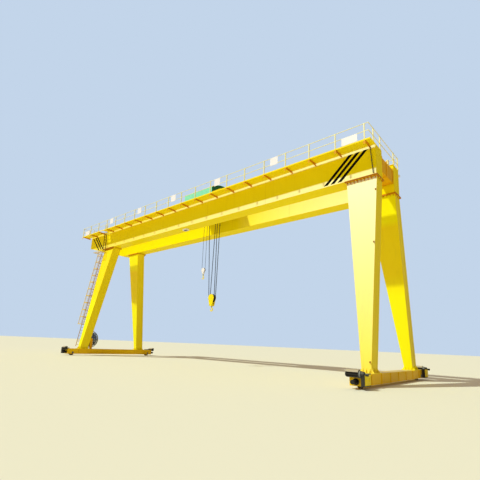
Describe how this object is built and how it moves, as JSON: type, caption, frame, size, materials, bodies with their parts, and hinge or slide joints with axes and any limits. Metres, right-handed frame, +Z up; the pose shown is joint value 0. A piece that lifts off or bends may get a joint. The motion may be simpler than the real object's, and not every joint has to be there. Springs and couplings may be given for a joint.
{
  "type": "gantry crane",
  "caption": "Yellow double-girder gantry crane on tapered splayed legs, with a cantilever end, railed walkway, caged ladder and covered winch trolley carrying a main and an auxiliary hook.",
  "frame": {"origin": "centre of the bounding box's footprint, on the ground", "axes": "+X along the girders away from the cantilever, -Y towards the walkway side, +Z up"},
  "size_m": [34.66, 11, 15.48],
  "materials": {
    "yellow_paint": "weathered gloss yellow paint",
    "cream_paint": "faded pale yellow paint",
    "mint_paint": "satin mint green paint",
    "white_paint": "plain white paint",
    "dark_paint": "satin dark grey paint",
    "primer_paint": "matt red-brown primer",
    "rail_steel": "worn dull steel",
    "rope_steel": "greased rope steel",
    "rubber": "matt black rubber"
  },
  "bodies": {
    "structure": {"near_girder": "yellow_paint", "far_girder": "yellow_paint", "trolley_rails": "rail_steel", "trolley_stops": "dark_paint", "end_ties": "yellow_paint", "near_walkway": "yellow_paint", "walkway_brackets": "yellow_paint", "near_railing": "cream_paint", "far_railing": "cream_paint", "end_railings": "cream_paint", "railing_boards": "white_paint", "near_right_leg": "yellow_paint", "far_right_leg": "yellow_paint", "near_left_leg": "yellow_paint", "far_left_leg": "yellow_paint", "right_sill_beam": "yellow_paint", "left_sill_beam": "yellow_paint", "travel_drives": "dark_paint", "sill_buffers": "rubber", "access_ladder": "yellow_paint", "cage_near_side": "yellow_paint", "cage_back": "yellow_paint", "cage_far_side": "yellow_paint", "rest_platform": "yellow_paint", "cable_reel": "dark_paint", "reel_stand": "primer_paint", "girder_lamp": "white_paint"},
    "near_right_wheel_set": {"near_right_wheel": "rail_steel"},
    "far_right_wheel_set": {"far_right_wheel": "rail_steel"},
    "near_left_wheel_set": {"near_left_wheel": "rail_steel"},
    "far_left_wheel_set": {"far_left_wheel": "rail_steel"},
    "trolley": {"trolley_frame": "yellow_paint", "trolley_cover": "mint_paint", "trolley_wheels": "rail_steel", "main_drum": "rail_steel", "aux_drum": "rail_steel", "equaliser_sheave": "rail_steel", "main_ropes": "rope_steel", "aux_ropes": "rope_steel"},
    "main_block": {"main_hook_block": "yellow_paint", "main_sheaves": "rope_steel"},
    "main_hook_swivel": {"main_hook": "yellow_paint"},
    "aux_block": {"aux_hook_block": "white_paint", "aux_sheave": "rope_steel"},
    "aux_hook_swivel": {"aux_hook": "yellow_paint"}
  },
  "joints": [
    {"name": "trolley_travel", "type": "slide", "parent": "structure", "child": "trolley", "axis": [1, 0, 0], "range_m": [-16.2, 12.2]},
    {"name": "main_hoist", "type": "slide", "parent": "trolley", "child": "main_block", "axis": [0, 0, 1], "range_m": [-3.55, 6.65], "deforming": ["main_ropes"]},
    {"name": "main_hook_turn", "type": "hinge", "parent": "main_block", "child": "main_hook_swivel", "pos_m": [1.99, 0, 4.7], "axis": [0, 0, 1], "continuous": true},
    {"name": "aux_hoist", "type": "slide", "parent": "trolley", "child": "aux_block", "axis": [0, 0, 1], "range_m": [-6.3, 4.3], "deforming": ["aux_ropes"]},
    {"name": "aux_hook_turn", "type": "hinge", "parent": "aux_block", "child": "aux_hook_swivel", "pos_m": [0.71, 0, 7.7], "axis": [0, 0, 1], "continuous": true},
    {"name": "near_right_wheel_turn", "type": "hinge", "parent": "structure", "child": "near_right_wheel_set", "pos_m": [16.67, -4.55, 0.275], "axis": [1, 0, 0], "continuous": true},
    {"name": "far_right_wheel_turn", "type": "hinge", "parent": "structure", "child": "far_right_wheel_set", "pos_m": [16.67, 4.55, 0.275], "axis": [1, 0, 0], "continuous": true},
    {"name": "near_left_wheel_turn", "type": "hinge", "parent": "structure", "child": "near_left_wheel_set", "pos_m": [-13.33, -4.55, 0.275], "axis": [1, 0, 0], "continuous": true},
    {"name": "far_left_wheel_turn", "type": "hinge", "parent": "structure", "child": "far_left_wheel_set", "pos_m": [-13.33, 4.55, 0.275], "axis": [1, 0, 0], "continuous": true}
  ]
}
